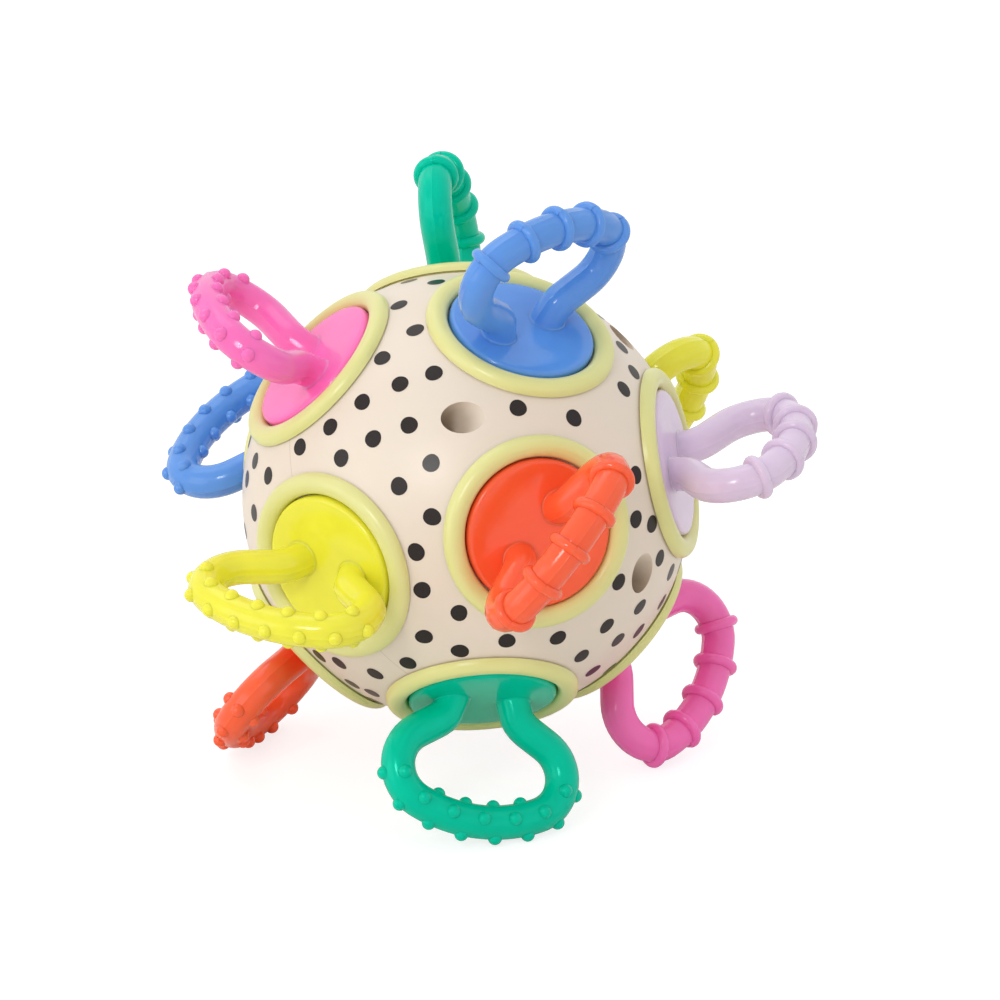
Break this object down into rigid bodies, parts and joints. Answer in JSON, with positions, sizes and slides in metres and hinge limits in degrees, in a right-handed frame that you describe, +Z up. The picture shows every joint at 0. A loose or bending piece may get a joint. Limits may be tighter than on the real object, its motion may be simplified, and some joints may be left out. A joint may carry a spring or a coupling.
{
  "type": "sensory ball",
  "caption": "Round hard-shelled baby ball with soft grasping loops, ribbed or bumpy, each turning in its own raised round bezel.",
  "frame": {"origin": "centre of the ball, which is its centre of mass", "axes": "+Z up as the ball stands on its loops, +X to the right and +Y away from the viewer in the pictured attitude"},
  "size_m": [0.1525, 0.1478, 0.1441],
  "materials": {
    "shell": "satin moulded ABS",
    "bezels": "satin moulded ABS, pale lime",
    "hubs": "moulded ABS, unseen",
    "cups": "moulded ABS, unseen",
    "screws": "zinc-plated",
    "loop_red": "glossy soft thermoplastic rubber, slightly translucent",
    "loop_lavender": "glossy soft thermoplastic rubber, slightly translucent",
    "loop_blue": "glossy soft thermoplastic rubber, slightly translucent",
    "loop_yellow": "glossy soft thermoplastic rubber, slightly translucent",
    "loop_green": "glossy soft thermoplastic rubber, slightly translucent",
    "loop_pink": "glossy soft thermoplastic rubber, slightly translucent"
  },
  "bodies": {
    "ball": {"shell_upper": "shell", "shell_lower": "shell", "shell_screws": "screws", "red_ribbed_bezel": "bezels", "red_ribbed_cup": "cups", "lavender_ribbed_bezel": "bezels", "lavender_ribbed_cup": "cups", "blue_ribbed_bezel": "bezels", "blue_ribbed_cup": "cups", "yellow_bumpy_bezel": "bezels", "yellow_bumpy_cup": "cups", "green_bumpy_bezel": "bezels", "green_bumpy_cup": "cups", "pink_ribbed_bezel": "bezels", "pink_ribbed_cup": "cups", "yellow_ribbed_bezel": "bezels", "yellow_ribbed_cup": "cups", "green_ribbed_bezel": "bezels", "green_ribbed_cup": "cups", "pink_bumpy_bezel": "bezels", "pink_bumpy_cup": "cups", "red_bumpy_bezel": "bezels", "red_bumpy_cup": "cups", "lavender_bumpy_bezel": "bezels", "lavender_bumpy_cup": "cups", "blue_bumpy_bezel": "bezels", "blue_bumpy_cup": "cups"},
    "red_ribbed_handle": {"red_ribbed_loop": "loop_red", "red_ribbed_hub": "hubs"},
    "lavender_ribbed_handle": {"lavender_ribbed_loop": "loop_lavender", "lavender_ribbed_hub": "hubs"},
    "blue_ribbed_handle": {"blue_ribbed_loop": "loop_blue", "blue_ribbed_hub": "hubs"},
    "yellow_bumpy_handle": {"yellow_bumpy_loop": "loop_yellow", "yellow_bumpy_hub": "hubs"},
    "green_bumpy_handle": {"green_bumpy_loop": "loop_green", "green_bumpy_hub": "hubs"},
    "pink_ribbed_handle": {"pink_ribbed_loop": "loop_pink", "pink_ribbed_hub": "hubs"},
    "yellow_ribbed_handle": {"yellow_ribbed_loop": "loop_yellow", "yellow_ribbed_hub": "hubs"},
    "green_ribbed_handle": {"green_ribbed_loop": "loop_green", "green_ribbed_hub": "hubs"},
    "pink_bumpy_handle": {"pink_bumpy_loop": "loop_pink", "pink_bumpy_hub": "hubs"},
    "red_bumpy_handle": {"red_bumpy_loop": "loop_red", "red_bumpy_hub": "hubs"},
    "lavender_bumpy_handle": {"lavender_bumpy_loop": "loop_lavender", "lavender_bumpy_hub": "hubs"},
    "blue_bumpy_handle": {"blue_bumpy_loop": "loop_blue", "blue_bumpy_hub": "hubs"}
  },
  "joints": [
    {"name": "red_ribbed_spin", "type": "hinge", "parent": "ball", "child": "red_ribbed_handle", "pos_m": [0, 0, 0], "axis": [0.3337, -0.9198, 0.2064], "continuous": true},
    {"name": "lavender_ribbed_spin", "type": "hinge", "parent": "ball", "child": "lavender_ribbed_handle", "pos_m": [0, 0, 0], "axis": [0.9571, -0.1393, 0.2542], "continuous": true},
    {"name": "blue_ribbed_spin", "type": "hinge", "parent": "ball", "child": "blue_ribbed_handle", "pos_m": [0, 0, 0], "axis": [0.2369, -0.2468, 0.9397], "continuous": true},
    {"name": "yellow_bumpy_spin", "type": "hinge", "parent": "ball", "child": "yellow_bumpy_handle", "pos_m": [0, 0, 0], "axis": [-0.6233, -0.7805, -0.0478], "continuous": true},
    {"name": "green_bumpy_spin", "type": "hinge", "parent": "ball", "child": "green_bumpy_handle", "pos_m": [0, 0, 0], "axis": [0.0968, -0.673, -0.7333], "continuous": true},
    {"name": "pink_ribbed_spin", "type": "hinge", "parent": "ball", "child": "pink_ribbed_handle", "pos_m": [0, 0, 0], "axis": [0.7201, 0.1075, -0.6854], "continuous": true},
    {"name": "yellow_ribbed_spin", "type": "hinge", "parent": "ball", "child": "yellow_ribbed_handle", "pos_m": [0, 0, 0], "axis": [0.6233, 0.7805, 0.0478], "continuous": true},
    {"name": "green_ribbed_spin", "type": "hinge", "parent": "ball", "child": "green_ribbed_handle", "pos_m": [0, 0, 0], "axis": [-0.0968, 0.673, 0.7333], "continuous": true},
    {"name": "pink_bumpy_spin", "type": "hinge", "parent": "ball", "child": "pink_bumpy_handle", "pos_m": [0, 0, 0], "axis": [-0.7201, -0.1075, 0.6854], "continuous": true},
    {"name": "red_bumpy_spin", "type": "hinge", "parent": "ball", "child": "red_bumpy_handle", "pos_m": [0, 0, 0], "axis": [-0.6847, -0.0492, -0.7271], "continuous": true},
    {"name": "lavender_bumpy_spin", "type": "hinge", "parent": "ball", "child": "lavender_bumpy_handle", "pos_m": [0, 0, 0], "axis": [-0.0614, 0.7313, -0.6793], "continuous": true},
    {"name": "blue_bumpy_spin", "type": "hinge", "parent": "ball", "child": "blue_bumpy_handle", "pos_m": [0, 0, 0], "axis": [-0.7816, 0.6238, 0.0062], "continuous": true}
  ]
}
